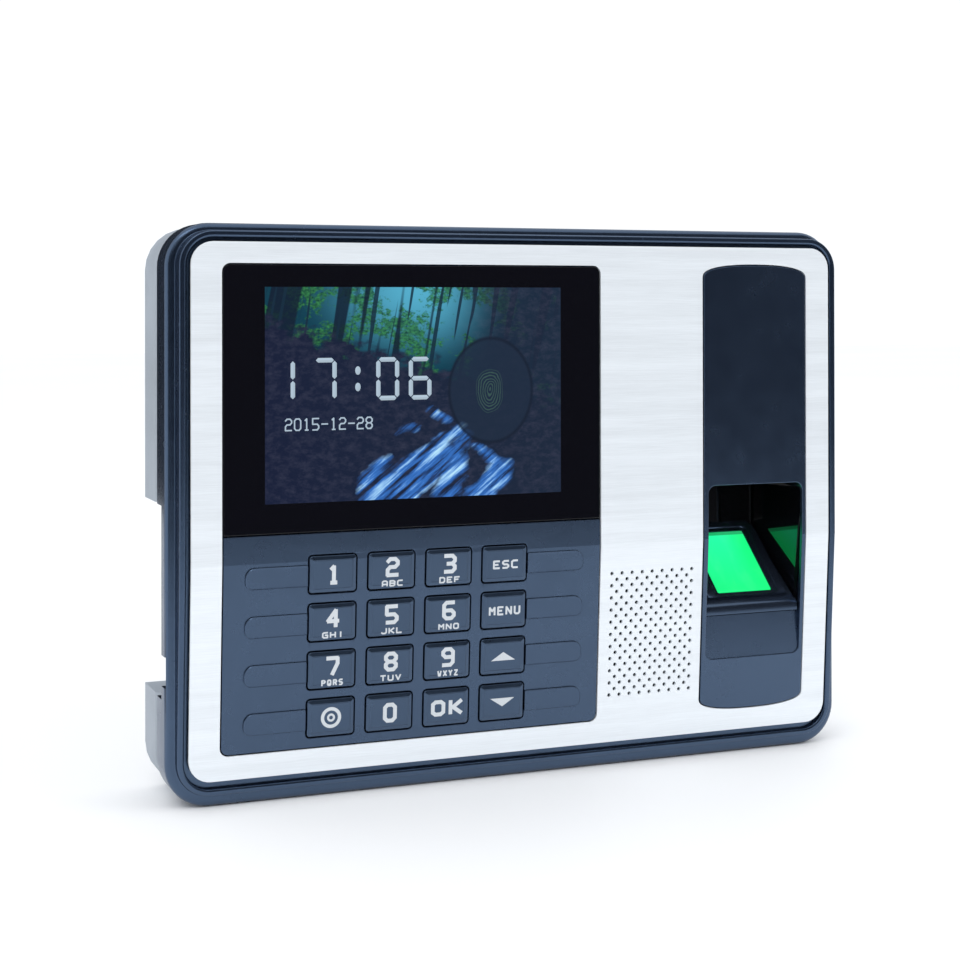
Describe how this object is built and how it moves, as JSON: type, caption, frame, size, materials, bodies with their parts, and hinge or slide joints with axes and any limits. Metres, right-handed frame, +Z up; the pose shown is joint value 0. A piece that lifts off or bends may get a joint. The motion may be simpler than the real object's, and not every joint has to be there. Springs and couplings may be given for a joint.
{
  "type": "fingerprint scanner terminal",
  "caption": "Wall-hung fingerprint time-clock terminal with a colour screen, a key field, a speaker grille and an optical finger sensor in a recess.",
  "frame": {"origin": "centre of the wall bracket's back face, on the wall", "axes": "+X to the right as seen from the front, +Y into the wall, +Z up"},
  "size_m": [0.175, 0.0305, 0.132],
  "materials": {
    "satin_black": "satin moulded plastic, very dark blue grey",
    "textured_case": "fine spark-textured moulded plastic",
    "brushed_silver": "bright brushed along its width",
    "gloss_window": "polished acrylic, black behind its border",
    "slate_panel": "satin slate",
    "key_plastic": "satin with white printed legends",
    "gloss_black": "polished",
    "black_plastic": "moulded",
    "screen_glass": "lit colour screen",
    "green_glass": "polished prism lit green from below",
    "circuit_board": "solder resist on glass fibre",
    "silicone": "moulded silicone",
    "cable_film": "polyimide film",
    "steel": "zinc-plated steel"
  },
  "bodies": {
    "bracket": {"wall_plate": "steel", "lock_screw": "steel"},
    "terminal": {"front_cover": "satin_black", "face_plate": "brushed_silver", "display_window": "gloss_window", "keypad_panel": "slate_panel", "keypad_membrane": "silicone", "keypad_board": "circuit_board", "speaker": "black_plastic", "lcd_module": "screen_glass", "sensor_trim": "satin_black", "sensor_housing": "gloss_black", "sensor_platen": "green_glass", "sensor_board": "circuit_board", "main_board": "circuit_board", "main_chip": "black_plastic", "memory_chip": "black_plastic", "battery_holder": "black_plastic", "clock_battery": "steel", "buzzer": "black_plastic", "lcd_ribbon": "cable_film", "usb_port": "steel", "dc_jack": "black_plastic", "rear_case": "textured_case", "board_screw_1": "steel", "case_screw_1": "steel", "board_screw_2": "steel", "case_screw_2": "steel", "board_screw_3": "steel", "case_screw_3": "steel", "board_screw_4": "steel", "case_screw_4": "steel"},
    "key_1": {"key_1": "key_plastic"},
    "key_2": {"key_2": "key_plastic"},
    "key_3": {"key_3": "key_plastic"},
    "key_esc": {"key_esc": "key_plastic"},
    "key_4": {"key_4": "key_plastic"},
    "key_5": {"key_5": "key_plastic"},
    "key_6": {"key_6": "key_plastic"},
    "key_menu": {"key_menu": "key_plastic"},
    "key_7": {"key_7": "key_plastic"},
    "key_8": {"key_8": "key_plastic"},
    "key_9": {"key_9": "key_plastic"},
    "key_up": {"key_up": "key_plastic"},
    "key_power": {"key_power": "key_plastic"},
    "key_0": {"key_0": "key_plastic"},
    "key_ok": {"key_ok": "key_plastic"},
    "key_down": {"key_down": "key_plastic"}
  },
  "joints": [
    {"name": "terminal_lift", "type": "slide", "parent": "bracket", "child": "terminal", "axis": [0, 0, 1], "range_m": [0, 0.008]},
    {"name": "key_1_press", "type": "slide", "parent": "terminal", "child": "key_1", "axis": [0, 0.9981, 0.0623], "range_m": [0, 0.0008], "stiffness_N_per_m": 1200, "springref_m": -0.0004},
    {"name": "key_2_press", "type": "slide", "parent": "terminal", "child": "key_2", "axis": [0, 0.9981, 0.0623], "range_m": [0, 0.0008], "stiffness_N_per_m": 1200, "springref_m": -0.0004},
    {"name": "key_3_press", "type": "slide", "parent": "terminal", "child": "key_3", "axis": [0, 0.9981, 0.0623], "range_m": [0, 0.0008], "stiffness_N_per_m": 1200, "springref_m": -0.0004},
    {"name": "key_esc_press", "type": "slide", "parent": "terminal", "child": "key_esc", "axis": [0, 0.9981, 0.0623], "range_m": [0, 0.0008], "stiffness_N_per_m": 1200, "springref_m": -0.0004},
    {"name": "key_4_press", "type": "slide", "parent": "terminal", "child": "key_4", "axis": [0, 0.9981, 0.0623], "range_m": [0, 0.0008], "stiffness_N_per_m": 1200, "springref_m": -0.0004},
    {"name": "key_5_press", "type": "slide", "parent": "terminal", "child": "key_5", "axis": [0, 0.9981, 0.0623], "range_m": [0, 0.0008], "stiffness_N_per_m": 1200, "springref_m": -0.0004},
    {"name": "key_6_press", "type": "slide", "parent": "terminal", "child": "key_6", "axis": [0, 0.9981, 0.0623], "range_m": [0, 0.0008], "stiffness_N_per_m": 1200, "springref_m": -0.0004},
    {"name": "key_menu_press", "type": "slide", "parent": "terminal", "child": "key_menu", "axis": [0, 0.9981, 0.0623], "range_m": [0, 0.0008], "stiffness_N_per_m": 1200, "springref_m": -0.0004},
    {"name": "key_7_press", "type": "slide", "parent": "terminal", "child": "key_7", "axis": [0, 0.9981, 0.0623], "range_m": [0, 0.0008], "stiffness_N_per_m": 1200, "springref_m": -0.0004},
    {"name": "key_8_press", "type": "slide", "parent": "terminal", "child": "key_8", "axis": [0, 0.9981, 0.0623], "range_m": [0, 0.0008], "stiffness_N_per_m": 1200, "springref_m": -0.0004},
    {"name": "key_9_press", "type": "slide", "parent": "terminal", "child": "key_9", "axis": [0, 0.9981, 0.0623], "range_m": [0, 0.0008], "stiffness_N_per_m": 1200, "springref_m": -0.0004},
    {"name": "key_up_press", "type": "slide", "parent": "terminal", "child": "key_up", "axis": [0, 0.9981, 0.0623], "range_m": [0, 0.0008], "stiffness_N_per_m": 1200, "springref_m": -0.0004},
    {"name": "key_power_press", "type": "slide", "parent": "terminal", "child": "key_power", "axis": [0, 0.9981, 0.0623], "range_m": [0, 0.0008], "stiffness_N_per_m": 1200, "springref_m": -0.0004},
    {"name": "key_0_press", "type": "slide", "parent": "terminal", "child": "key_0", "axis": [0, 0.9981, 0.0623], "range_m": [0, 0.0008], "stiffness_N_per_m": 1200, "springref_m": -0.0004},
    {"name": "key_ok_press", "type": "slide", "parent": "terminal", "child": "key_ok", "axis": [0, 0.9981, 0.0623], "range_m": [0, 0.0008], "stiffness_N_per_m": 1200, "springref_m": -0.0004},
    {"name": "key_down_press", "type": "slide", "parent": "terminal", "child": "key_down", "axis": [0, 0.9981, 0.0623], "range_m": [0, 0.0008], "stiffness_N_per_m": 1200, "springref_m": -0.0004}
  ]
}
